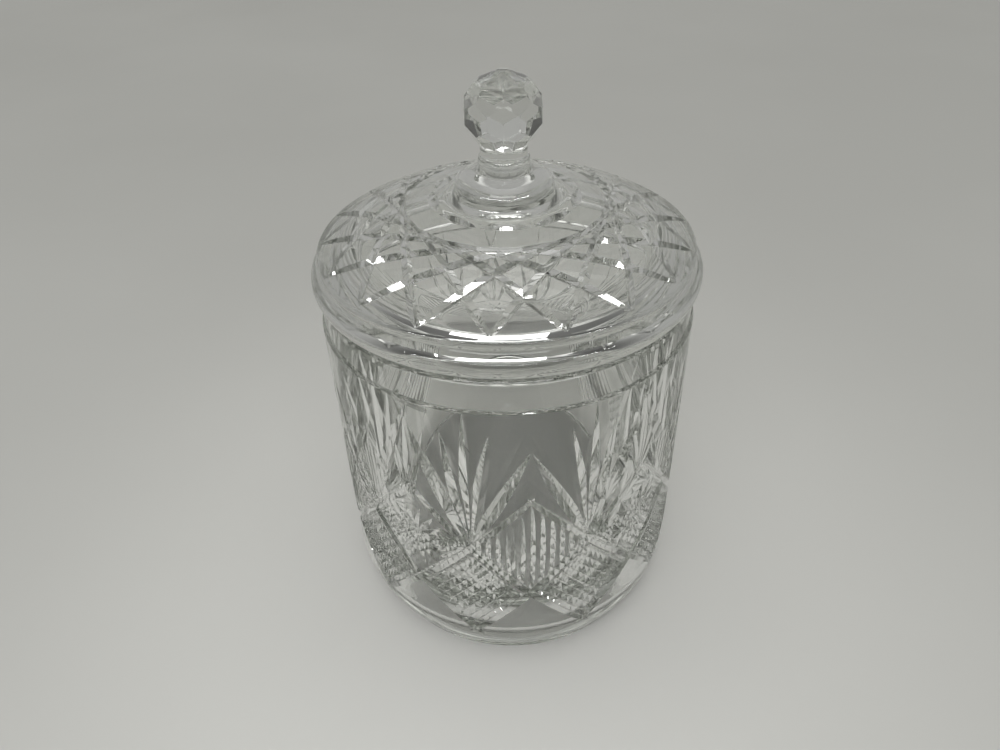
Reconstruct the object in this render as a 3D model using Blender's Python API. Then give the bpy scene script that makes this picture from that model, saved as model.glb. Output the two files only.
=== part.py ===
"""Cut-glass lidded jar: a turned barrel body, a domed lift-off lid and a faceted ball knob.

The origin is the centre of the foot's underside, +Z runs up the axis that everything is turned about.
Lengths are in metres. A profile is a list of (radius, height) points.
"""

import math

import bmesh
import bpy
from mathutils import Vector

MM = 0.001

# Body
FOOT_RADIUS = 62.0 * MM
FOOT_HEIGHT = 3.6 * MM
FOOT_BEVEL = 0.8 * MM
BELLY_RADIUS = 70.0 * MM
HEEL_HEIGHT = 30.0 * MM  # where the heel's curve meets the belly
HEEL_DEPTH = 10.6 * MM  # the heel's ellipse, across
HEEL_DROP = 26.5 * MM  # the heel's ellipse, down
HEEL_SWEEP = 74.0  # degrees of that ellipse that are used
BELLY_TOP = 45.0 * MM  # above this the wall tapers in slightly
LEDGE_HEIGHT = 137.3 * MM  # a small shoulder under the plain collar
LEDGE_STEP = 1.1 * MM
COLLAR_RADIUS = 67.9 * MM
RIM_HEIGHT = 148.6 * MM
RIM_EDGE = 1.0 * MM  # rounding on both edges of the rim
MOUTH_RADIUS = 61.2 * MM
CAVITY_RADIUS = 60.0 * MM
FLOOR_HEIGHT = 13.0 * MM
FLOOR_FILLET = (8.0 * MM, 8.0 * MM)

# Lid
SEAT_GAP = 0.3 * MM
SEAT_HEIGHT = RIM_HEIGHT + SEAT_GAP
SEAT_RADIUS = 66.6 * MM
SEAT_BEVEL = 0.3 * MM
SEAT_NECK = 149.8 * MM  # the undercut between the seat and the bead
BEAD_HEIGHT = 153.6 * MM
BEAD_RADII = (3.2 * MM, 3.8 * MM)
BEAD_SWEEP = 72.0  # degrees of the bead's ellipse above and below its widest point
LID_RADIUS = 70.0 * MM
SHOULDER_RADIUS = 66.0 * MM  # where the dome's curve ends
SHOULDER_EDGE = 2.4 * MM
SHOULDER_TUCK = 30.0  # degrees that the shoulder's rounding turns back under, above the bead
CROWN_HEIGHT = 179.1 * MM
DOME_DROP = 16.4 * MM
DOME_POWER = 2.4  # a flattened crown that falls away near the shoulder
BOSS_FOOT_RADIUS = 24.5 * MM
BOSS_WAIST = (17.5 * MM, 179.5 * MM)
BOSS_TOP_RADIUS = 9.3 * MM
BOSS_TOP = 187.0 * MM
FLANGE_RADIUS = 60.5 * MM  # locating ring that drops inside the mouth
FLANGE_BOTTOM = 142.6 * MM
FLANGE_EDGE = 1.0 * MM
HOLLOW_RADIUS = 56.0 * MM
HOLLOW_TOP = 171.5 * MM
HOLLOW_DROP = 9.5 * MM
HOLLOW_CORNER = 10.0 * MM
HOLLOW_SWEEP = 70.0  # degrees of rounding between the hollow's wall and its ceiling

# Knob
KNOB_GAP = 0.3 * MM
KNOB_BOTTOM = BOSS_TOP + KNOB_GAP
KNOB_CENTRE = 206.1 * MM
KNOB_FACET = 12.4 * MM  # from the ball's centre to a side facet
KNOB_TOP_FACET = 12.9 * MM
KNOB_BASE_FACET = 10.5 * MM  # where the ball is cut off above the neck
KNOB_SIDES = 8
KNOB_ROWS = (66.0, 35.0, 0.0, -35.0)  # each row's elevation in degrees, the next row half a facet round
NECK_RADIUS = 8.0 * MM
NECK_BAND = (192.0 * MM, 199.0 * MM)  # plain band, which runs up inside the ball
RING_RADIUS = 8.9 * MM
RING_HEIGHT = 190.2 * MM
RING_GROOVE = (8.5 * MM, 188.8 * MM)

TURN_STEPS = 64
CURVE_STEPS = 6
DOME_STEPS = 8
SMOOTH_ANGLE = math.radians(32.0)

GLASS_COLOUR = (0.80, 0.82, 0.79, 1.0)
GLASS_ROUGHNESS = 0.03
GLASS_IOR = 1.53


def clear_scene():
    for found in list(bpy.data.objects):
        bpy.data.objects.remove(found, do_unlink=True)


def glass(name):
    """Clear, faintly grey-green lead crystal."""
    material = bpy.data.materials.new(name)
    material.use_nodes = True
    shader = material.node_tree.nodes["Principled BSDF"]
    shader.inputs["Base Color"].default_value = GLASS_COLOUR
    shader.inputs["Roughness"].default_value = GLASS_ROUGHNESS
    shader.inputs["Metallic"].default_value = 0.0
    shader.inputs["IOR"].default_value = GLASS_IOR
    shader.inputs["Transmission Weight"].default_value = 1.0
    return material


def arc(centre, radii, start, end, steps=CURVE_STEPS):
    """Points along an elliptical arc, between two angles in degrees from the outward direction."""
    angles = [math.radians(start + (end - start) * step / steps) for step in range(steps + 1)]
    return [(centre[0] + radii[0] * math.cos(a), centre[1] + radii[1] * math.sin(a)) for a in angles]


def turned(name, profile, material):
    """A solid turned about Z. The profile starts and ends on the axis and runs down its outer side."""
    mesh = bpy.data.meshes.new(name)
    points = [(radius, 0.0, height) for radius, height in profile]
    edges = [(index, index + 1) for index in range(len(points) - 1)]
    mesh.from_pydata(points, edges, [])
    mesh.materials.append(material)
    turned_object = bpy.data.objects.new(name, mesh)
    bpy.context.scene.collection.objects.link(turned_object)
    screw = turned_object.modifiers.new("turn", "SCREW")
    screw.steps = TURN_STEPS
    screw.render_steps = TURN_STEPS
    screw.use_merge_vertices = True
    screw.merge_threshold = 1e-6
    return turned_object


def applied(shape):
    """The object with its modifiers made part of its mesh, and shaded smooth between crisp edges."""
    graph = bpy.context.evaluated_depsgraph_get()
    mesh = bpy.data.meshes.new_from_object(shape.evaluated_get(graph))
    shape.modifiers.clear()
    shape.data = mesh
    mesh.shade_smooth()
    mesh.set_sharp_from_angle(angle=SMOOTH_ANGLE)
    return shape


def body_profile():
    """Up the cavity, over the rim, down the outside and in across the flat base."""
    fillet_centre = (CAVITY_RADIUS - FLOOR_FILLET[0], FLOOR_HEIGHT + FLOOR_FILLET[1])
    edge = (RIM_EDGE, RIM_EDGE)
    inner_edge_centre = (MOUTH_RADIUS + RIM_EDGE, RIM_HEIGHT - RIM_EDGE)
    outer_edge_centre = (COLLAR_RADIUS - RIM_EDGE, RIM_HEIGHT - RIM_EDGE)
    ledge_centre = (COLLAR_RADIUS, LEDGE_HEIGHT - LEDGE_STEP)
    heel_centre = (BELLY_RADIUS - HEEL_DEPTH, HEEL_HEIGHT)
    return [
        (0.0, FLOOR_HEIGHT),
        *arc(fillet_centre, FLOOR_FILLET, -90.0, 0.0),
        *arc(inner_edge_centre, edge, 180.0, 90.0, steps=3),
        *arc(outer_edge_centre, edge, 90.0, 0.0, steps=3),
        *arc(ledge_centre, (LEDGE_STEP, LEDGE_STEP), 90.0, 0.0, steps=2),
        (BELLY_RADIUS, BELLY_TOP),
        *arc(heel_centre, (HEEL_DEPTH, HEEL_DROP), 0.0, -HEEL_SWEEP),
        (FOOT_RADIUS, FOOT_HEIGHT),
        (FOOT_RADIUS, FOOT_BEVEL),
        (FOOT_RADIUS - FOOT_BEVEL, 0.0),
        (0.0, 0.0),
    ]


def dome(top, drop, radius, outer, inner=0.0):
    """Points on a flattened dome between two radii, from the inner one outwards."""
    radii = [inner + (outer - inner) * step / DOME_STEPS for step in range(DOME_STEPS + 1)]
    return [(r, top - drop * (r / radius) ** DOME_POWER) for r in radii]


def lid_profile():
    """Down the boss and the dome, round the rim, in across the seat, round the flange and up the hollow."""
    boss_height = BOSS_TOP - BOSS_WAIST[1]
    boss_centre = (BOSS_TOP_RADIUS, BOSS_WAIST[1])
    boss_radii = (BOSS_WAIST[0] - BOSS_TOP_RADIUS, boss_height)
    crown = dome(CROWN_HEIGHT, DOME_DROP, SHOULDER_RADIUS, SHOULDER_RADIUS, inner=BOSS_FOOT_RADIUS)
    fillet_centre = (BOSS_FOOT_RADIUS, BOSS_WAIST[1])
    fillet_radii = (BOSS_FOOT_RADIUS - BOSS_WAIST[0], BOSS_WAIST[1] - crown[0][1])
    # the rounding starts where it meets the dome without a corner
    shoulder_start = math.degrees(math.atan(SHOULDER_RADIUS / (DOME_DROP * DOME_POWER)))
    inward = (-SHOULDER_EDGE, -SHOULDER_EDGE)
    shoulder_centre = arc(crown[-1], inward, shoulder_start, shoulder_start)[0]
    bead_centre = (LID_RADIUS - BEAD_RADII[0], BEAD_HEIGHT)
    flange_edge = (FLANGE_EDGE, FLANGE_EDGE)
    flange_outer_centre = (FLANGE_RADIUS - FLANGE_EDGE, FLANGE_BOTTOM + FLANGE_EDGE)
    flange_inner_centre = (HOLLOW_RADIUS + FLANGE_EDGE, FLANGE_BOTTOM + FLANGE_EDGE)
    sweep = math.radians(HOLLOW_SWEEP)
    corner_radius = HOLLOW_RADIUS - HOLLOW_CORNER * (1.0 - math.cos(sweep))
    ceiling = dome(HOLLOW_TOP, HOLLOW_DROP, HOLLOW_RADIUS, corner_radius)
    corner_centre = (HOLLOW_RADIUS - HOLLOW_CORNER, ceiling[-1][1] - HOLLOW_CORNER * math.sin(sweep))
    return [
        (0.0, BOSS_TOP),
        *arc(boss_centre, boss_radii, 90.0, 0.0),
        *arc(fillet_centre, fillet_radii, 180.0, 270.0, steps=4)[1:-1],
        *crown,
        *arc(shoulder_centre, (SHOULDER_EDGE, SHOULDER_EDGE), shoulder_start, -SHOULDER_TUCK)[1:],
        *arc(bead_centre, BEAD_RADII, BEAD_SWEEP, -BEAD_SWEEP),
        (SEAT_RADIUS, SEAT_NECK),
        (SEAT_RADIUS, SEAT_HEIGHT + SEAT_BEVEL),
        (SEAT_RADIUS - SEAT_BEVEL, SEAT_HEIGHT),
        (FLANGE_RADIUS, SEAT_HEIGHT),
        *arc(flange_outer_centre, flange_edge, 0.0, -90.0, steps=2),
        *arc(flange_inner_centre, flange_edge, 270.0, 180.0, steps=2),
        *arc(corner_centre, (HOLLOW_CORNER, HOLLOW_CORNER), 0.0, HOLLOW_SWEEP)[:-1],
        *ceiling[::-1],
    ]


def knob_facets():
    """Direction and distance of every facet of the ball: flat ends and staggered rows of side facets."""
    up = Vector((0.0, 0.0, 1.0))
    facets = [(up, KNOB_TOP_FACET), (-up, KNOB_BASE_FACET)]
    for row, elevation in enumerate(KNOB_ROWS):
        tilt = math.radians(elevation)
        for side in range(KNOB_SIDES):
            turn = math.tau * (side + 0.5 * (row % 2)) / KNOB_SIDES
            across = math.cos(tilt)
            direction = Vector((math.sin(turn) * across, -math.cos(turn) * across, math.sin(tilt)))
            facets.append((direction, KNOB_FACET))
    return facets


def faceted_ball(name, material):
    """A block ground down to the ball by one flat cut for each facet."""
    shape = bmesh.new()
    bmesh.ops.create_cube(shape, size=4.0 * KNOB_FACET)
    for direction, distance in knob_facets():
        everything = shape.verts[:] + shape.edges[:] + shape.faces[:]
        cut = bmesh.ops.bisect_plane(
            shape, geom=everything, plane_co=direction * distance, plane_no=direction, clear_outer=True
        )
        rim = [item for item in cut["geom_cut"] if isinstance(item, bmesh.types.BMEdge)]
        bmesh.ops.contextual_create(shape, geom=rim)
    bmesh.ops.recalc_face_normals(shape, faces=shape.faces[:])
    mesh = bpy.data.meshes.new(name)
    shape.to_mesh(mesh)
    shape.free()
    mesh.materials.append(material)
    ball = bpy.data.objects.new(name, mesh)
    ball.location.z = KNOB_CENTRE
    bpy.context.scene.collection.objects.link(ball)
    return ball


def neck_profile():
    """A plain band under the ball, then a ring and a groove that spread into the lid's boss."""
    ring_centre = (NECK_RADIUS, RING_HEIGHT)
    ring_radii = (RING_RADIUS - NECK_RADIUS, NECK_BAND[0] - RING_HEIGHT)
    return [
        (0.0, NECK_BAND[1]),
        (NECK_RADIUS, NECK_BAND[1]),
        (NECK_RADIUS, NECK_BAND[0]),
        *arc(ring_centre, ring_radii, 70.0, -40.0, steps=4),
        RING_GROOVE,
        (BOSS_TOP_RADIUS, KNOB_BOTTOM),
        (0.0, KNOB_BOTTOM),
    ]


def make_body():
    return applied(turned("jar_body", body_profile(), glass("body_glass")))


def make_lid():
    return applied(turned("lid", lid_profile(), glass("lid_glass")))


def make_knob():
    """The neck joined to the faceted ball: one piece of glass, fused to the lid's boss."""
    material = glass("knob_glass")
    ball = faceted_ball("knob_ball", material)
    knob = turned("lid_knob", neck_profile(), material)
    join = knob.modifiers.new("join", "BOOLEAN")
    join.operation = "UNION"
    join.object = ball
    applied(knob)
    bpy.data.objects.remove(ball, do_unlink=True)
    return knob


def main():
    clear_scene()
    body = make_body()
    lid = make_lid()
    knob = make_knob()
    lid_axis = bpy.data.objects.new("lid_axis", None)
    bpy.context.scene.collection.objects.link(lid_axis)
    lid_axis.parent = body
    lid.parent = lid_axis
    knob.parent = lid


main()
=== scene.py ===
"""Looks of the cut-glass jar: turned crystal shells with the whole cut pattern ground into them.

Lengths are in metres. An azimuth is in degrees from -Y towards +X. A profile is a list of (radius, height)
points that runs down the outer side, as a lathe tool would follow it.
"""

import math

import bmesh
import bpy
import numpy as np
from mathutils import Matrix, Vector


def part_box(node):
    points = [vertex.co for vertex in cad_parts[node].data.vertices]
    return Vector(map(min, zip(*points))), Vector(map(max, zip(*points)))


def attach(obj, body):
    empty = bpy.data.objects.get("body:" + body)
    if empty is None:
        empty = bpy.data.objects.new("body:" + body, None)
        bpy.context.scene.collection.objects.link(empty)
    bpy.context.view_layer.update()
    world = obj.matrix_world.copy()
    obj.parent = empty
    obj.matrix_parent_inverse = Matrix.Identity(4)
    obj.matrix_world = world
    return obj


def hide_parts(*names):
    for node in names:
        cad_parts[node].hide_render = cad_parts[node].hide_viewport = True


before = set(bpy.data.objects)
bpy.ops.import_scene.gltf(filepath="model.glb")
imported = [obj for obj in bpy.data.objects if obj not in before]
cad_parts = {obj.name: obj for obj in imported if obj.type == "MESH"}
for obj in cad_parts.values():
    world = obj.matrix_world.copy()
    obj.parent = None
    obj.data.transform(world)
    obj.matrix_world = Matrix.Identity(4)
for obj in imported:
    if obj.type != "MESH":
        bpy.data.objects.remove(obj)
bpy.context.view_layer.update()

MM = 0.001
BODY_LOW, BODY_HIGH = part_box("jar_body")
LID_LOW, LID_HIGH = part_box("lid")
KNOB_LOW, KNOB_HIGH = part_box("lid_knob")

# Body, inside the box that the frame gives it
FLOOR_LEVEL = BODY_LOW.z
RIM_HEIGHT = BODY_HIGH.z
BELLY_RADIUS = BODY_HIGH.x
FOOT_RADIUS = BELLY_RADIUS - 8.0 * MM
FOOT_HEIGHT = 3.6 * MM
FOOT_BEVEL = 0.8 * MM
HEEL_HEIGHT = 30.0 * MM
HEEL_RADII = (10.6 * MM, 26.5 * MM)
HEEL_SWEEP = 74.0
BELLY_TOP = 45.0 * MM
LEDGE_HEIGHT = 137.3 * MM
LEDGE_STEP = 1.1 * MM
COLLAR_RADIUS = BELLY_RADIUS - 2.1 * MM
RIM_EDGE = 1.0 * MM
MOUTH_RADIUS = 61.2 * MM
CAVITY_RADIUS = 60.0 * MM
CAVITY_FLOOR = 13.0 * MM
CAVITY_FILLET = (8.0 * MM, 8.0 * MM)

# Lid
SEAT_HEIGHT = RIM_HEIGHT + 0.3 * MM
SEAT_RADIUS = 66.6 * MM
SEAT_BEVEL = 0.3 * MM
SEAT_NECK = 149.8 * MM
LID_RADIUS = LID_HIGH.x
BEAD_HEIGHT = 153.6 * MM
BEAD_RADII = (3.2 * MM, 3.8 * MM)
BEAD_SWEEP = 72.0
SHOULDER_RADIUS = 66.0 * MM
SHOULDER_EDGE = 2.4 * MM
SHOULDER_TUCK = 30.0
CROWN_HEIGHT = 179.1 * MM
DOME_DROP = 16.4 * MM
DOME_POWER = 2.4
BOSS_TOP = LID_HIGH.z
BOSS_TOP_RADIUS = 9.3 * MM
BOSS_WAIST = (17.5 * MM, 179.5 * MM)
BOSS_FOOT_RADIUS = 24.5 * MM
FLANGE_RADIUS = 60.5 * MM
FLANGE_BOTTOM = LID_LOW.z
FLANGE_EDGE = 1.0 * MM
HOLLOW_RADIUS = 56.0 * MM
HOLLOW_TOP = 171.5 * MM
HOLLOW_DROP = 9.5 * MM
HOLLOW_CORNER = 10.0 * MM
HOLLOW_SWEEP = 70.0

# Knob
KNOB_TOP = KNOB_HIGH.z
KNOB_TOP_FACET = 12.9 * MM
KNOB_CENTRE = KNOB_TOP - KNOB_TOP_FACET
KNOB_FACET = 12.4 * MM
KNOB_BASE_FACET = 10.5 * MM
KNOB_SIDES = 8
KNOB_ROWS = (66.0, 35.0, 0.0, -35.0)
KNOB_ARRIS = 0.12 * MM
KNOB_SINK = 0.2 * MM  # how far the fused neck runs into the boss
NECK_RADIUS = 8.0 * MM
NECK_BAND = (192.0 * MM, 199.0 * MM)
RING_RADIUS = 8.9 * MM
RING_HEIGHT = 190.2 * MM
RING_GROOVE = (8.5 * MM, 188.8 * MM)

# Cutting
TURN_STEPS = 240
CURVE_STEPS = 14
LEDGE_STEPS = 6
DOME_STEPS = 20
LIFT = 1.6 * MM  # how far a cutter reaches out of the glass
SHARP_ANGLE = math.radians(14.0)
SLIVER = 0.0005 * MM
ON_PROFILE = 0.03 * MM  # a face this close to the profile is still part of the turned surface

# Pattern on the body; half angles of the grinding wheels' V edges are in degrees
PATTERN_TURN = 5.6  # azimuth of the first fluted kite
REPEATS = 5
KITES = 2 * REPEATS
KITE_STEP = 360.0 / KITES
NODE_HEIGHT = 72.0 * MM  # side corners of the kites
KITE_HALF = 25.5 * MM
ARC_PER_DEGREE = BELLY_RADIUS * math.radians(1.0)

MITRE_DEPTH = 1.5 * MM
MITRE_ANGLE = 50.0
MITRE_START = 1.3  # azimuth of a mitre's upper end past the tip of its kite
MITRE_RUN_OUT = 2.0 * MM  # how far a mitre runs past the corners where it starts and ends

FLUTES = 11
FLUTE_DEPTH = 1.15 * MM
FLUTE_ANGLE = 57.0
FLUTE_SHARE = 0.94  # of the height between the mitres

# (azimuth from the corner, height) of each spike's tip
SPIKES = (
    (-18.0, 120.5 * MM),
    (-6.8, 128.5 * MM),
    (0.0, 136.6 * MM),
    (6.8, 128.0 * MM),
    (13.4, 119.5 * MM),
    (20.4, 136.6 * MM),
)
SPIKE_DEPTH = 1.8 * MM
SPIKE_FOOT = NODE_HEIGHT + 4.0 * MM
SPIKE_GATHER = 0.04  # share of its azimuth that a spike keeps at its foot
SMALL_SPIKES = ((-6.5, 127.0 * MM), (0.0, 131.0 * MM), (6.5, 127.0 * MM))
SMALL_SPIKE_DEPTH = 1.2 * MM
SMALL_SPIKE_FOOT = NODE_HEIGHT + KITE_HALF - 5.0 * MM
SMALL_SPIKE_GATHER = 0.1

STAR_RAYS = 8
STAR_REACH = 11.0 * MM
STAR_STRETCH = 5.0 * MM  # how much further an upright ray reaches
STAR_DEPTH = 1.3 * MM
CORNER_FAN = (-34.0, -17.0, 0.0, 17.0, 34.0)  # how many degrees each short cut rises
CORNER_FAN_START = 1.6  # azimuth from the corner
CORNER_FAN_REACH = 15.0 * MM
CORNER_FAN_DEPTH = 1.0 * MM

FIELD_CELLS = 9
FIELD_ANGLE = 50.0
FIELD_INSET = 0.035  # share of a cut's run that is left for the mitre at each end

# Pattern on the lid
LID_TIPS = 18
LID_SPAN = 6  # tips that each cut spans
LID_TURN = -4.7  # azimuth of the first tip
LID_TIP_RADIUS = 65.4 * MM
LID_BOW = 2.6 * MM  # how far the middle of a cut stands out, seen from above
LID_CUT_DEPTH = 2.1 * MM
LID_CUT_ANGLE = 53.0
LID_CUT_MIDDLE = 0.35  # share of its depth that a cut keeps in its middle
OLIVE_RING = 24.6 * MM
OLIVE_HALF = 8.4 * MM
OLIVE_DEPTH = 1.3 * MM
OLIVE_ANGLE = 58.0

# Crystal
CLEAR = (0.975, 0.98, 0.97, 1.0)
CRYSTAL_IOR = 1.54
CRYSTAL_TONE = (0.56, 0.58, 0.54, 1.0)
CRYSTAL_DENSITY = 7.0
RIPPLE = 0.01
RIPPLE_DEPTH = 0.1 * MM
RIPPLE_SCALE = 140.0
POLISH_SCALE = 90.0
ROUGHEST = 0.02

# Stage
FLOOR_HALF = 3.0
FLOOR_GAP = 0.3 * MM
LIGHT_DISTANCE = 1.6
WINDOW_ELEVATION = 55.0
WINDOW_HEIGHT = 0.3
GLINT_ELEVATION = 41.0
GLINT_HEIGHT = 0.05
POOL_CENTRE = Vector((-0.02, -0.15, FLOOR_LEVEL))
LIGHT_PATHS = 48  # bounces
CAMERA_PLACE = (0.0, -0.2423, 0.2885)
CAMERA_LENS = 27.04
CAMERA_CLIP = 0.01


def arc(centre, radii, start, end, steps=CURVE_STEPS):
    """Points along an elliptical arc, between two angles in degrees from the outward direction."""
    angles = np.radians(np.linspace(start, end, steps + 1))
    return [(centre[0] + radii[0] * math.cos(a), centre[1] + radii[1] * math.sin(a)) for a in angles]


def dome(top, drop, radius, outer, inner=0.0):
    """Points on a flattened dome between two radii, from the inner one outwards."""
    return [(r, top - drop * (r / radius) ** DOME_POWER) for r in np.linspace(inner, outer, DOME_STEPS + 1)]


def wall_profile():
    """The body's outer side from the ledge down to the foot: the surface that is cut."""
    heel_centre = (BELLY_RADIUS - HEEL_RADII[0], HEEL_HEIGHT)
    ledge_centre = (COLLAR_RADIUS, LEDGE_HEIGHT - LEDGE_STEP)
    return [
        *arc(ledge_centre, (LEDGE_STEP, LEDGE_STEP), 90.0, 0.0, steps=LEDGE_STEPS),
        (BELLY_RADIUS, BELLY_TOP),
        *arc(heel_centre, HEEL_RADII, 0.0, -HEEL_SWEEP),
    ]


def body_profile():
    """The whole body, from the middle of the cavity's floor over the rim to the middle of the foot."""
    fillet_centre = (CAVITY_RADIUS - CAVITY_FILLET[0], CAVITY_FLOOR + CAVITY_FILLET[1])
    edge = (RIM_EDGE, RIM_EDGE)
    inner_edge_centre = (MOUTH_RADIUS + RIM_EDGE, RIM_HEIGHT - RIM_EDGE)
    outer_edge_centre = (COLLAR_RADIUS - RIM_EDGE, RIM_HEIGHT - RIM_EDGE)
    return [
        (0.0, CAVITY_FLOOR),
        *arc(fillet_centre, CAVITY_FILLET, -90.0, 0.0),
        *arc(inner_edge_centre, edge, 180.0, 90.0, steps=5),
        *arc(outer_edge_centre, edge, 90.0, 0.0, steps=5),
        *wall_profile(),
        (FOOT_RADIUS, FOOT_HEIGHT),
        (FOOT_RADIUS, FLOOR_LEVEL + FOOT_BEVEL),
        (FOOT_RADIUS - FOOT_BEVEL, FLOOR_LEVEL),
        (0.0, FLOOR_LEVEL),
    ]


def crown_profile():
    """The lid's cut surface, from the boss's foot to the shoulder."""
    return dome(CROWN_HEIGHT, DOME_DROP, SHOULDER_RADIUS, SHOULDER_RADIUS, inner=BOSS_FOOT_RADIUS)


def lid_profile():
    """The whole lid, from the top of the boss over the bead and the flange to the hollow's ceiling."""
    boss_centre = (BOSS_TOP_RADIUS, BOSS_WAIST[1])
    boss_radii = (BOSS_WAIST[0] - BOSS_TOP_RADIUS, BOSS_TOP - BOSS_WAIST[1])
    crown = crown_profile()
    fillet_centre = (BOSS_FOOT_RADIUS, BOSS_WAIST[1])
    fillet_radii = (BOSS_FOOT_RADIUS - BOSS_WAIST[0], BOSS_WAIST[1] - crown[0][1])
    # the rounding starts where it meets the dome without a corner
    shoulder_start = math.degrees(math.atan(SHOULDER_RADIUS / (DOME_DROP * DOME_POWER)))
    inward = (-SHOULDER_EDGE, -SHOULDER_EDGE)
    shoulder_centre = arc(crown[-1], inward, shoulder_start, shoulder_start)[0]
    bead_centre = (LID_RADIUS - BEAD_RADII[0], BEAD_HEIGHT)
    flange_edge = (FLANGE_EDGE, FLANGE_EDGE)
    flange_outer_centre = (FLANGE_RADIUS - FLANGE_EDGE, FLANGE_BOTTOM + FLANGE_EDGE)
    flange_inner_centre = (HOLLOW_RADIUS + FLANGE_EDGE, FLANGE_BOTTOM + FLANGE_EDGE)
    sweep = math.radians(HOLLOW_SWEEP)
    corner_radius = HOLLOW_RADIUS - HOLLOW_CORNER * (1.0 - math.cos(sweep))
    ceiling = dome(HOLLOW_TOP, HOLLOW_DROP, HOLLOW_RADIUS, corner_radius)
    corner_centre = (HOLLOW_RADIUS - HOLLOW_CORNER, ceiling[-1][1] - HOLLOW_CORNER * math.sin(sweep))
    return [
        (0.0, BOSS_TOP),
        *arc(boss_centre, boss_radii, 90.0, 0.0),
        *arc(fillet_centre, fillet_radii, 180.0, 270.0)[1:-1],
        *crown,
        *arc(shoulder_centre, (SHOULDER_EDGE, SHOULDER_EDGE), shoulder_start, -SHOULDER_TUCK)[1:],
        *arc(bead_centre, BEAD_RADII, BEAD_SWEEP, -BEAD_SWEEP, steps=18),
        (SEAT_RADIUS, SEAT_NECK),
        (SEAT_RADIUS, SEAT_HEIGHT + SEAT_BEVEL),
        (SEAT_RADIUS - SEAT_BEVEL, SEAT_HEIGHT),
        (FLANGE_RADIUS, SEAT_HEIGHT),
        *arc(flange_outer_centre, flange_edge, 0.0, -90.0, steps=6),
        *arc(flange_inner_centre, flange_edge, 270.0, 180.0, steps=6),
        *arc(corner_centre, (HOLLOW_CORNER, HOLLOW_CORNER), 0.0, HOLLOW_SWEEP, steps=8)[:-1],
        *ceiling[::-1],
    ]


def neck_profile():
    """The knob's neck with its ring, from inside the ball down into the boss."""
    ring_radii = (RING_RADIUS - NECK_RADIUS, NECK_BAND[0] - RING_HEIGHT)
    return [
        (0.0, NECK_BAND[1]),
        (NECK_RADIUS, NECK_BAND[1]),
        (NECK_RADIUS, NECK_BAND[0]),
        *arc((NECK_RADIUS, RING_HEIGHT), ring_radii, 70.0, -40.0, steps=8),
        RING_GROOVE,
        (BOSS_TOP_RADIUS - 0.3 * MM, BOSS_TOP - KNOB_SINK),
        (0.0, BOSS_TOP - KNOB_SINK),
    ]


def around(azimuth, radius, height):
    """The place at this azimuth, this far from the Z axis."""
    turn = math.radians(azimuth)
    return Vector((radius * math.sin(turn), -radius * math.cos(turn), height))


def object_from(name, vertices, faces):
    """A new mesh object in the scene."""
    mesh = bpy.data.meshes.new(name)
    mesh.from_pydata([tuple(v) for v in vertices], [], faces)
    mesh.validate()
    made = bpy.data.objects.new(name, mesh)
    bpy.context.scene.collection.objects.link(made)
    return made


def turned(name, profile):
    """A closed solid turned about Z, from a profile that starts and ends on the axis."""
    rings = profile[1:-1]
    vertices = [around(360.0 * step / TURN_STEPS, r, z) for r, z in rings for step in range(TURN_STEPS)]
    first, last = len(vertices), len(vertices) + 1
    vertices += [Vector((0.0, 0.0, profile[0][1])), Vector((0.0, 0.0, profile[-1][1]))]
    faces = []
    for ring in range(len(rings) - 1):
        for step in range(TURN_STEPS):
            here, after = ring * TURN_STEPS + step, ring * TURN_STEPS + (step + 1) % TURN_STEPS
            faces.append((here, here + TURN_STEPS, after + TURN_STEPS, after))
    low = (len(rings) - 1) * TURN_STEPS
    for step in range(TURN_STEPS):
        after = (step + 1) % TURN_STEPS
        faces.append((first, step, after))
        faces.append((low + step, last, low + after))
    return object_from(name, vertices, faces)


class Surface:
    """A turned surface that is cut: points and outward normals by azimuth and distance along its profile."""

    def __init__(self, profile):
        self.points = np.array(profile)
        steps = np.diff(self.points, axis=0)
        self.along = np.concatenate([[0.0], np.cumsum(np.hypot(steps[:, 0], steps[:, 1]))])

    def at(self, azimuth, distance):
        """(point, normal) there; the distance is measured down the profile from its first point."""
        r = np.interp(distance, self.along, self.points[:, 0])
        z = np.interp(distance, self.along, self.points[:, 1])
        step = 0.5 * MM
        ends = (distance - step, distance + step)
        radii = np.interp(ends, self.along, self.points[:, 0])
        heights = np.interp(ends, self.along, self.points[:, 1])
        across, down = radii[1] - radii[0], heights[0] - heights[1]
        length = math.hypot(across, down)
        return around(azimuth, r, z), around(azimuth, down / length, across / length)


def prism(points, normals, depths, half_angle):
    """(vertices, faces) of a V-shaped cutter along a path, as deep at each point as depths says."""
    points = np.array([tuple(p) for p in points])
    normals = np.array([tuple(n) for n in normals])
    tangents = np.gradient(points, axis=0)
    sides = np.cross(tangents, normals)
    sides /= np.linalg.norm(sides, axis=1)[:, None]
    depths = np.asarray(depths)[:, None]
    width = (depths + LIFT) * math.tan(math.radians(half_angle))
    apexes = points - normals * depths
    left = points + normals * LIFT - sides * width
    right = points + normals * LIFT + sides * width
    vertices = np.stack([apexes, left, right], axis=1).reshape(-1, 3)
    faces = [(0, 2, 1)]
    for station in range(len(points) - 1):
        a, b = 3 * station, 3 * station + 3
        faces += [(a, b + 0, b + 2, a + 2), (a + 2, b + 2, b + 1, a + 1), (a + 1, b + 1, b, a)]
    end = 3 * (len(points) - 1)
    faces.append((end, end + 1, end + 2))
    return outward(vertices, faces)


def outward(vertices, faces):
    """The same closed shape with its faces turned to point out."""
    volume = 0.0
    for face in faces:
        corners = [vertices[i] for i in face]
        for second, third in zip(corners[1:], corners[2:]):
            volume += np.dot(corners[0], np.cross(second, third))
    return vertices, faces if volume > 0.0 else [tuple(reversed(face)) for face in faces]


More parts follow.
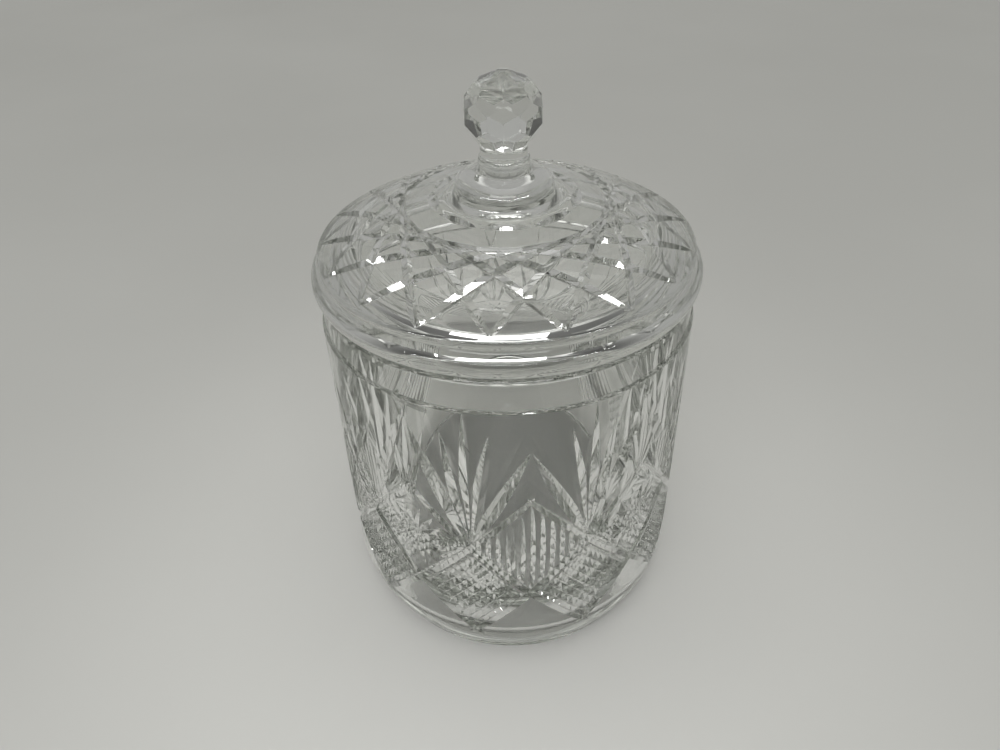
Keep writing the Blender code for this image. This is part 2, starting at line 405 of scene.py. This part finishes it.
def swell(along, fullness, widest=0.5):
    """How deep a cut is along its length: 1 at its widest, and just clear of the glass at both ends."""
    eased = along ** (math.log(0.5) / math.log(widest))
    return 1.02 * (4.0 * eased * (1.0 - eased)) ** fullness - 0.02


def groove(surface, start, end, depth, half_angle=55.0, stations=17, fullness=0.5, widest=0.5):
    """A V cut between two (azimuth, distance) places, running out to a point at both ends."""
    along = np.linspace(0.0, 1.0, stations)
    azimuths = start[0] + (end[0] - start[0]) * along
    distances = start[1] + (end[1] - start[1]) * along
    placed = [surface.at(a, d) for a, d in zip(azimuths, distances)]
    depths = depth * swell(along, fullness, widest)
    return prism([p for p, _ in placed], [n for _, n in placed], depths, half_angle)


def cutter(shapes):
    """One hidden object from several closed shapes that don't touch each other."""
    vertices, faces = [], []
    for points, sides in shapes:
        faces += [tuple(i + len(vertices) for i in side) for side in sides]
        vertices += list(points)
    made = object_from("cutter", vertices, faces)
    made.hide_render = True
    return made


def carve(shape, groups):
    """Grinds every group of cutters out of the shape, then clears the crumbs left where cuts cross."""
    tools = [cutter(group) for group in groups]
    for tool in tools:
        cut = shape.modifiers.new("cut", "BOOLEAN")
        cut.operation = "DIFFERENCE"
        cut.solver = "MANIFOLD"
        cut.object = tool
    keep_result(shape)
    for tool in tools:
        bpy.data.objects.remove(tool, do_unlink=True)
    drop_crumbs(shape.data)


def connected_pieces(shape):
    """The faces of each separate piece of a mesh, with the largest piece first."""
    pieces, waiting = [], set(shape.faces)
    while waiting:
        front = [waiting.pop()]
        piece = list(front)
        while front:
            neighbours = {other for edge in front.pop().edges for other in edge.link_faces} & waiting
            waiting -= neighbours
            front.extend(neighbours)
            piece.extend(neighbours)
        pieces.append(piece)
    return sorted(pieces, key=len, reverse=True)


def drop_crumbs(mesh):
    """Closes slivers that are too thin to see, and keeps only the piece that is the object itself."""
    shape = bmesh.new()
    shape.from_mesh(mesh)
    bmesh.ops.dissolve_degenerate(shape, edges=shape.edges[:], dist=SLIVER)
    crumbs = [face for piece in connected_pieces(shape)[1:] for face in piece]
    bmesh.ops.delete(shape, geom=crumbs, context="FACES")
    shape.to_mesh(mesh)
    shape.free()


def keep_result(shape):
    """Applies the shape's modifiers to its mesh."""
    graph = bpy.context.evaluated_depsgraph_get()
    result = bpy.data.meshes.new_from_object(shape.evaluated_get(graph))
    shape.modifiers.clear()
    shape.data = result
    result.name = shape.name


def profile_normals(profile):
    """For each profile segment, the normals at its two ends, smoothed over joints that aren't corners."""
    points = np.array(profile)
    steps = np.diff(points, axis=0)
    normals = np.stack([-steps[:, 1], steps[:, 0]], axis=1)
    normals /= np.linalg.norm(normals, axis=1)[:, None]
    starts, ends = normals.copy(), normals.copy()
    for joint in range(len(normals) - 1):
        if np.dot(normals[joint], normals[joint + 1]) > math.cos(SHARP_ANGLE):
            mean = normals[joint] + normals[joint + 1]
            ends[joint] = starts[joint + 1] = mean / np.linalg.norm(mean)
    return points, steps, normals, starts, ends


def read_all(items, name, width, kind=float):
    """One value, or one row of them, for each item of a mesh."""
    values = np.empty(len(items) * width, kind)
    items.foreach_get(name, values)
    return values.reshape(-1, width) if width > 1 else values


def spun(places, flat_normals):
    """Normals in space at these places, from (outward, upward) pairs."""
    radii = np.hypot(places[:, 0], places[:, 1])
    radial = places[:, :2] / np.maximum(radii[:, None], 1e-9)
    return np.column_stack([radial * flat_normals[:, :1], flat_normals[:, 1]])


def flattened(places):
    """(radius, height) of each place."""
    return np.stack([np.hypot(places[:, 0], places[:, 1]), places[:, 2]], axis=1)


def nearest_segment(mesh, points, steps, normals):
    """For each face, the profile segment it lies closest to, and whether it is part of that surface."""
    centres = read_all(mesh.polygons, "center", 3)
    face_normals = read_all(mesh.polygons, "normal", 3)
    offset = flattened(centres)[:, None, :] - points[None, :-1, :]
    t = np.clip((offset * steps).sum(axis=2) / (steps**2).sum(axis=1), 0.0, 1.0)
    miss = np.linalg.norm(offset - t[:, :, None] * steps, axis=2)
    segment = miss.argmin(axis=1)
    expected = spun(centres, normals[segment])
    turned_face = (miss.min(axis=1) < ON_PROFILE) & ((expected * face_normals).sum(axis=1) > 0.99)
    return segment, turned_face


def polish(shape, profile):
    """Smooth shading: exact normals on what is left of the turned surface, crisp edges on the cuts."""
    mesh = shape.data
    mesh.shade_smooth()
    points, steps, normals, starts, ends = profile_normals(profile)
    segment, turned_face = nearest_segment(mesh, points, steps, normals)
    face_sizes = read_all(mesh.polygons, "loop_total", 1, np.int32)
    corner_face = np.repeat(np.arange(len(face_sizes)), face_sizes)
    corner_vertex = read_all(mesh.loops, "vertex_index", 1, np.int32)
    places = read_all(mesh.vertices, "co", 3)[corner_vertex]
    part = segment[corner_face]
    offset = flattened(places) - points[part]
    t = (offset * steps[part]).sum(axis=1) / (steps**2).sum(axis=1)[part]
    t = np.clip(t, 0.0, 1.0)[:, None]
    flat_normals = starts[part] * (1.0 - t) + ends[part] * t
    flat_normals /= np.linalg.norm(flat_normals, axis=1)[:, None]
    exact = spun(places, flat_normals)
    exact[~turned_face[corner_face]] = 0.0
    mesh.set_sharp_from_angle(angle=SHARP_ANGLE)
    mesh.normals_split_custom_set(exact.tolist())


def wall():
    """The body's cut surface, with heights turned into distances down from the ledge."""
    surface = Surface(wall_profile())
    ledge_end = surface.along[LEDGE_STEPS]
    return surface, lambda height: ledge_end + (LEDGE_HEIGHT - LEDGE_STEP - height)


def kite_centres(first=0, step=1):
    """Azimuths of the kites' middles: fluted ones are even, ones with a star are odd."""
    return [PATTERN_TURN + KITE_STEP * kite for kite in range(first, KITES, step)]


def mitre_groups(surface, down):
    """Long mitres that cross at every corner of the kites and the pyramid fields."""
    top = down(NODE_HEIGHT + KITE_HALF + MITRE_RUN_OUT)
    bottom = down(NODE_HEIGHT - 2.0 * KITE_HALF - MITRE_RUN_OUT)
    reach = 1.5 * KITE_STEP * (1.0 + 2.0 * MITRE_RUN_OUT / (3.0 * KITE_HALF))
    groups = []
    for lean in (-1.0, 1.0):
        group = []
        for centre in kite_centres():
            start, end = (centre - lean * MITRE_START, top), (centre + lean * reach, bottom)
            group.append(groove(surface, start, end, MITRE_DEPTH, MITRE_ANGLE, stations=33, fullness=0.2))
        groups.append(group)
    return groups


def flute_groups(surface, down):
    """Upright flutes that fill every other kite, in two sets so that neighbours don't touch."""
    groups = [[], []]
    pitch = KITE_STEP / (FLUTES + 1)
    for centre in kite_centres(step=2):
        for flute in range(FLUTES):
            offset = (flute - (FLUTES - 1) / 2) * pitch
            half = KITE_HALF * (1.0 - abs(offset) / (KITE_STEP / 2)) * FLUTE_SHARE
            start = (centre + offset, down(NODE_HEIGHT + half))
            end = (centre + offset, down(NODE_HEIGHT - half))
            groups[flute % 2].append(groove(surface, start, end, FLUTE_DEPTH, FLUTE_ANGLE, fullness=0.4))
    return groups


def spike(surface, tip, foot, depth, stations):
    """A long pointed cut that is widest a little below its middle."""
    return groove(surface, tip, foot, depth, stations=stations, fullness=0.6, widest=0.6)


def spike_groups(surface, down):
    """A fan of long spikes above every side corner, reaching the ledge in the middle and over the stars."""
    groups = []
    for turn, height in SPIKES:
        for side in (-1.0, 1.0):
            group = []
            for star in kite_centres(first=1, step=2):
                corner = star - side * KITE_STEP / 2
                start = (corner + side * turn, down(height))
                end = (corner + side * turn * SPIKE_GATHER, down(SPIKE_FOOT))
                group.append(spike(surface, start, end, SPIKE_DEPTH, stations=21))
            groups.append(group)
    for turn, height in SMALL_SPIKES:
        group = []
        for centre in kite_centres(first=1, step=2):
            start = (centre + turn, down(height))
            end = (centre + turn * SMALL_SPIKE_GATHER, down(SMALL_SPIKE_FOOT))
            group.append(spike(surface, start, end, SMALL_SPIKE_DEPTH, stations=17))
        groups.append(group)
    return groups


def star_groups(surface, down):
    """A star of crossing cuts in the other kites, with short fans in their side corners."""
    groups = []
    for ray in range(STAR_RAYS):
        direction = math.pi * (ray + 0.5) / STAR_RAYS
        across, up = math.cos(direction), math.sin(direction)
        length = STAR_REACH + STAR_STRETCH * abs(up)
        turn, rise = length * across / ARC_PER_DEGREE, length * up
        group = []
        for centre in kite_centres(first=1, step=2):
            start = (centre - turn, down(NODE_HEIGHT - rise))
            end = (centre + turn, down(NODE_HEIGHT + rise))
            group.append(groove(surface, start, end, STAR_DEPTH, fullness=0.9))
        groups.append(group)
    for lift in CORNER_FAN:
        turn = CORNER_FAN_REACH * math.cos(math.radians(lift)) / ARC_PER_DEGREE
        rise = CORNER_FAN_REACH * math.sin(math.radians(lift))
        group = []
        for centre in kite_centres(first=1, step=2):
            for side in (-1.0, 1.0):
                corner = centre + side * KITE_STEP / 2
                start = (corner - side * CORNER_FAN_START, down(NODE_HEIGHT))
                end = (corner - side * turn, down(NODE_HEIGHT + rise))
                group.append(groove(surface, start, end, CORNER_FAN_DEPTH, fullness=0.7))
        groups.append(group)
    return groups


def pyramid_groups(surface, down):
    """Fields of small ground pyramids below every side corner, from two sets of parallel cuts."""
    groups = [[], [], [], []]
    pitch = math.hypot(KITE_HALF, math.radians(KITE_STEP / 2) * BELLY_RADIUS) / FIELD_CELLS
    depth = 0.5 * pitch / math.tan(math.radians(FIELD_ANGLE))
    ends = (FIELD_INSET, 1.0 - FIELD_INSET)
    for centre in kite_centres():
        corner = centre + KITE_STEP / 2
        for cell in range(1, FIELD_CELLS):
            share = cell / FIELD_CELLS
            for lean, first in ((-1.0, 0), (1.0, 2)):
                shift = KITE_STEP / 2 * share
                edge = (corner + lean * shift, down(NODE_HEIGHT - KITE_HALF * share))
                run = (-lean * KITE_STEP / 2, KITE_HALF)
                start, end = [(edge[0] + part * run[0], edge[1] + part * run[1]) for part in ends]
                cut = groove(surface, start, end, depth, FIELD_ANGLE, fullness=0.12)
                groups[first + cell % 2].append(cut)
    return groups


def make_body():
    """The jar with every cut of its pattern."""
    body = turned("cut_jar_body", body_profile())
    surface, down = wall()
    groups = [
        *mitre_groups(surface, down),
        *flute_groups(surface, down),
        *spike_groups(surface, down),
        *star_groups(surface, down),
        *pyramid_groups(surface, down),
    ]
    carve(body, groups)
    polish(body, body_profile())
    return body


def crown_height(radius):
    """Height of the lid's uncut dome at this radius."""
    return CROWN_HEIGHT - DOME_DROP * (radius / SHOULDER_RADIUS) ** DOME_POWER


def crown_normal(x, y):
    """Outward direction of the lid's uncut dome at this place."""
    radius = math.hypot(x, y)
    slope = DOME_DROP * DOME_POWER * radius ** (DOME_POWER - 1.0) / SHOULDER_RADIUS**DOME_POWER
    return Vector((slope * x / radius, slope * y / radius, 1.0)).normalized()


def crown_cut(flat, depth, half_angle, fullness, middle=1.0):
    """A V cut laid over the lid's dome along a path seen from above; its middle is this share as deep."""
    points = [Vector((p.x, p.y, crown_height(math.hypot(p.x, p.y)))) for p in flat]
    normals = [crown_normal(p.x, p.y) for p in flat]
    along = np.linspace(0.0, 1.0, len(flat))
    depths = depth * swell(along, fullness) * (middle + (1.0 - middle) * np.abs(2.0 * along - 1.0))
    return prism(points, normals, depths, half_angle)


def bowed(start, end, bow, stations):
    """Points along a line seen from above that bows outwards, as a straight cut over a dome does."""
    middle = (start + end).normalized() * bow
    along = np.linspace(0.0, 1.0, stations)
    return [start.lerp(end, t) + middle * 4.0 * t * (1.0 - t) for t in along]


def lid_groups():
    """Crossing cuts that make the dome's diamonds, and a ring of small olives round the boss."""
    half_round = LID_TIPS // 2
    groups = []
    for first in range(half_round):
        group = []
        for tip in (first, first + half_round):
            azimuth = LID_TURN + 360.0 * tip / LID_TIPS
            start = around(azimuth, LID_TIP_RADIUS, 0.0)
            end = around(azimuth + 360.0 * LID_SPAN / LID_TIPS, LID_TIP_RADIUS, 0.0)
            path = bowed(start, end, LID_BOW, stations=49)
            group.append(crown_cut(path, LID_CUT_DEPTH, LID_CUT_ANGLE, fullness=0.4, middle=LID_CUT_MIDDLE))
        groups.append(group)
    olives = []
    for olive in range(half_round):
        centre = around(360.0 * olive / half_round, OLIVE_RING, 0.0)
        along = Vector((-centre.y, centre.x, 0.0)).normalized() * OLIVE_HALF
        path = bowed(centre - along, centre + along, 0.0, stations=21)
        olives.append(crown_cut(path, OLIVE_DEPTH, OLIVE_ANGLE, fullness=1.0))
    groups.append(olives)
    return groups


def make_lid():
    """The lid with the diamonds and olives of its dome."""
    lid = turned("cut_lid", lid_profile())
    carve(lid, lid_groups())
    polish(lid, lid_profile())
    return lid


def knob_facets():
    """Direction and distance of every facet of the ball: flat ends and staggered rows of side facets."""
    up = Vector((0.0, 0.0, 1.0))
    facets = [(up, KNOB_TOP_FACET), (-up, KNOB_BASE_FACET)]
    for row, elevation in enumerate(KNOB_ROWS):
        tilt = math.radians(elevation)
        for side in range(KNOB_SIDES):
            turn = 360.0 * (side + 0.5 * (row % 2)) / KNOB_SIDES
            facets.append((around(turn, math.cos(tilt), math.sin(tilt)), KNOB_FACET))
    return facets


def make_ball():
    """A block ground down to the ball by one flat cut for each facet, with its edges just broken."""
    shape = bmesh.new()
    bmesh.ops.create_cube(shape, size=4.0 * KNOB_FACET)
    for direction, distance in knob_facets():
        everything = shape.verts[:] + shape.edges[:] + shape.faces[:]
        cut = bmesh.ops.bisect_plane(
            shape, geom=everything, plane_co=direction * distance, plane_no=direction, clear_outer=True
        )
        rim = [item for item in cut["geom_cut"] if isinstance(item, bmesh.types.BMEdge)]
        bmesh.ops.contextual_create(shape, geom=rim)
    bmesh.ops.recalc_face_normals(shape, faces=shape.faces[:])
    bmesh.ops.bevel(shape, geom=shape.edges[:], offset=KNOB_ARRIS, segments=1, affect="EDGES", profile=0.5)
    mesh = bpy.data.meshes.new("ball")
    shape.to_mesh(mesh)
    shape.free()
    mesh.transform(Matrix.Translation((0.0, 0.0, KNOB_CENTRE)))
    ball = bpy.data.objects.new("ball", mesh)
    bpy.context.scene.collection.objects.link(ball)
    return ball


def make_knob():
    """The faceted ball and its turned neck, in one piece."""
    knob = turned("faceted_knob", neck_profile())
    ball = make_ball()
    join = knob.modifiers.new("join", "BOOLEAN")
    join.operation = "UNION"
    join.solver = "MANIFOLD"
    join.object = ball
    keep_result(knob)
    bpy.data.objects.remove(ball, do_unlink=True)
    polish(knob, neck_profile())
    return knob


def crystal(name):
    """Polished lead crystal: clear, with the faint ripple and uneven polish that acid leaves."""
    material = bpy.data.materials.new(name)
    material.use_nodes = True
    nodes, links = material.node_tree.nodes, material.node_tree.links
    shader = nodes["Principled BSDF"]
    shader.inputs["Base Color"].default_value = CLEAR
    shader.inputs["IOR"].default_value = CRYSTAL_IOR
    shader.inputs["Transmission Weight"].default_value = 1.0
    place = nodes.new("ShaderNodeTexCoord")
    cloud = nodes.new("ShaderNodeTexNoise")
    cloud.inputs["Scale"].default_value = POLISH_SCALE
    cloud.inputs["Detail"].default_value = 3.0
    polish_range = nodes.new("ShaderNodeMapRange")
    polish_range.inputs["To Min"].default_value = 0.0
    polish_range.inputs["To Max"].default_value = ROUGHEST
    wave = nodes.new("ShaderNodeTexNoise")
    wave.inputs["Scale"].default_value = RIPPLE_SCALE
    wave.inputs["Detail"].default_value = 1.0
    bump = nodes.new("ShaderNodeBump")
    bump.inputs["Strength"].default_value = RIPPLE
    bump.inputs["Distance"].default_value = RIPPLE_DEPTH
    links.new(place.outputs["Object"], cloud.inputs["Vector"])
    links.new(place.outputs["Object"], wave.inputs["Vector"])
    links.new(cloud.outputs["Fac"], polish_range.inputs["Value"])
    links.new(polish_range.outputs["Result"], shader.inputs["Roughness"])
    links.new(wave.outputs["Fac"], bump.inputs["Height"])
    links.new(bump.outputs["Normal"], shader.inputs["Normal"])
    depth_tone = nodes.new("ShaderNodeVolumeAbsorption")
    depth_tone.inputs["Color"].default_value = CRYSTAL_TONE
    depth_tone.inputs["Density"].default_value = CRYSTAL_DENSITY
    links.new(depth_tone.outputs["Volume"], nodes["Material Output"].inputs["Volume"])
    return material


def place_piece(piece, body, node, material):
    """Gives a piece its material, hangs it on the body it rides on, and hides the CAD node it stands in for.
    """
    piece.data.materials.clear()
    piece.data.materials.append(material)
    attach(piece, body)
    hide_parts(node)


def paper(name):
    """Matt pale grey paper with a faint mottle."""
    material = bpy.data.materials.new(name)
    material.use_nodes = True
    nodes, links = material.node_tree.nodes, material.node_tree.links
    shader = nodes["Principled BSDF"]
    shader.inputs["Roughness"].default_value = 0.9
    mottle = nodes.new("ShaderNodeTexNoise")
    mottle.inputs["Scale"].default_value = 9.0
    mottle.inputs["Detail"].default_value = 5.0
    tones = nodes.new("ShaderNodeValToRGB")
    tones.color_ramp.elements[0].position = 0.35
    tones.color_ramp.elements[0].color = (0.56, 0.56, 0.537, 1.0)
    tones.color_ramp.elements[1].position = 0.70
    tones.color_ramp.elements[1].color = (0.61, 0.61, 0.587, 1.0)
    links.new(mottle.outputs["Fac"], tones.inputs["Fac"])
    links.new(tones.outputs["Color"], shader.inputs["Base Color"])
    return material


def make_floor():
    """A wide sheet of paper, a hair below the foot."""
    sheet = bmesh.new()
    bmesh.ops.create_grid(sheet, x_segments=8, y_segments=8, size=FLOOR_HALF)
    mesh = bpy.data.meshes.new("floor")
    sheet.to_mesh(mesh)
    sheet.free()
    floor = bpy.data.objects.new("floor", mesh)
    floor.location.z = FLOOR_LEVEL - FLOOR_GAP
    bpy.context.scene.collection.objects.link(floor)
    mesh.materials.append(paper("floor_paper"))


def make_camera():
    """A wide phone lens close by, looking down at the jar."""
    heading, tilt, roll = math.radians(-0.83), math.radians(38.12), math.radians(-1.68)
    level_part = math.cos(tilt)
    forward = Vector((math.sin(heading) * level_part, math.cos(heading) * level_part, -math.sin(tilt)))
    level = forward.cross(Vector((0.0, 0.0, 1.0))).normalized()
    upright = level.cross(forward)
    right = math.cos(roll) * level + math.sin(roll) * upright
    up = -math.sin(roll) * level + math.cos(roll) * upright
    camera = bpy.data.objects.new("camera", bpy.data.cameras.new("camera"))
    camera.data.lens = CAMERA_LENS
    camera.data.clip_start = CAMERA_CLIP
    bpy.context.scene.collection.objects.link(camera)
    turn = Matrix((right, up, -forward)).transposed().to_4x4()
    camera.matrix_world = Matrix.Translation(CAMERA_PLACE) @ turn
    bpy.context.scene.camera = camera


def light_offset(azimuth, elevation):
    """From what a light shines on to the light."""
    tilt = math.radians(elevation)
    return around(azimuth, LIGHT_DISTANCE * math.cos(tilt), LIGHT_DISTANCE * math.sin(tilt))


def panel_light(name, azimuth, elevation, size, power):
    """A rectangular soft light that faces the jar."""
    light = bpy.data.lights.new(name, "AREA")
    light.shape = "RECTANGLE"
    light.size, light.size_y = size
    light.energy = power
    holder = bpy.data.objects.new(name, light)
    holder.location = light_offset(azimuth, elevation)
    holder.rotation_euler = holder.location.to_track_quat("Z", "Y").to_euler()
    bpy.context.scene.collection.objects.link(holder)
    return holder


def glint_strip(name, azimuth, width, power):
    """A bright strip that only shows as a streak on polished edges and adds nothing to the floor."""
    strip = panel_light(name, azimuth, GLINT_ELEVATION, (width, GLINT_HEIGHT), power)
    strip.visible_diffuse = False
    strip.visible_transmission = False


def floor_spot(name, centre, azimuth, elevation, spread, power):
    """A soft-edged lamp that makes a pool of light on the floor and doesn't show in the glass."""
    light = bpy.data.lights.new(name, "SPOT")
    light.energy = power
    light.spot_size = math.radians(spread)
    light.spot_blend = 1.0
    light.shadow_soft_size = 0.15
    holder = bpy.data.objects.new(name, light)
    towards = light_offset(azimuth, elevation)
    holder.location = centre + towards
    holder.rotation_euler = towards.to_track_quat("Z", "Y").to_euler()
    holder.visible_glossy = False
    holder.visible_transmission = False
    bpy.context.scene.collection.objects.link(holder)


def graded(nodes, links, source, start, end, low, high):
    """A smooth step of the source from one value to another."""
    step = nodes.new("ShaderNodeMapRange")
    step.interpolation_type = "SMOOTHSTEP"
    step.inputs["From Min"].default_value = start
    step.inputs["From Max"].default_value = end
    step.inputs["To Min"].default_value = low
    step.inputs["To Max"].default_value = high
    links.new(source, step.inputs["Value"])
    return step.outputs["Result"]


def make_room():
    """A soft room: pale wall behind the jar, dim on the near side, bright overhead."""
    world = bpy.data.worlds.new("room")
    bpy.context.scene.world = world
    world.use_nodes = True
    nodes, links = world.node_tree.nodes, world.node_tree.links
    background = nodes["Background"]
    background.inputs["Color"].default_value = (1.0, 1.0, 0.97, 1.0)
    place = nodes.new("ShaderNodeTexCoord")
    split = nodes.new("ShaderNodeSeparateXYZ")
    brightest = nodes.new("ShaderNodeMath")
    brightest.operation = "MAXIMUM"
    links.new(place.outputs["Generated"], split.inputs["Vector"])
    overhead = graded(nodes, links, split.outputs["Z"], start=0.75, end=0.98, low=0.0, high=1.6)
    sides = graded(nodes, links, split.outputs["Y"], start=-0.4, end=0.45, low=0.08, high=0.40)
    links.new(overhead, brightest.inputs[0])
    links.new(sides, brightest.inputs[1])
    links.new(brightest.outputs["Value"], background.inputs["Strength"])


def make_lights():
    """Two soft windows, two strips for the streaks on the lid, a lamp for the floor, and the room."""
    panel_light("window_left", -32.5, WINDOW_ELEVATION, (0.39, WINDOW_HEIGHT), power=1.4)
    panel_light("window_right", 3.5, WINDOW_ELEVATION, (0.92, WINDOW_HEIGHT), power=3.3)
    glint_strip("glint_left", -22.0, width=1.9, power=7.5)
    glint_strip("glint_right", 42.0, width=0.95, power=3.8)
    floor_spot("floor_pool", POOL_CENTRE, azimuth=-10.0, elevation=58.0, spread=20.0, power=42.0)
    make_room()


def tune_render():
    """Enough bounces for light to find its way through the facets, and plain tones."""
    scene = bpy.context.scene
    scene.cycles.max_bounces = LIGHT_PATHS
    scene.cycles.transmission_bounces = LIGHT_PATHS
    scene.cycles.glossy_bounces = LIGHT_PATHS
    scene.view_settings.view_transform = "Standard"


def main():
    make_camera()
    make_floor()
    make_lights()
    tune_render()
    place_piece(make_body(), "jar", "jar_body", crystal("body_crystal"))
    place_piece(make_lid(), "lid", "lid", crystal("lid_crystal"))
    place_piece(make_knob(), "lid", "lid_knob", crystal("knob_crystal"))


main()
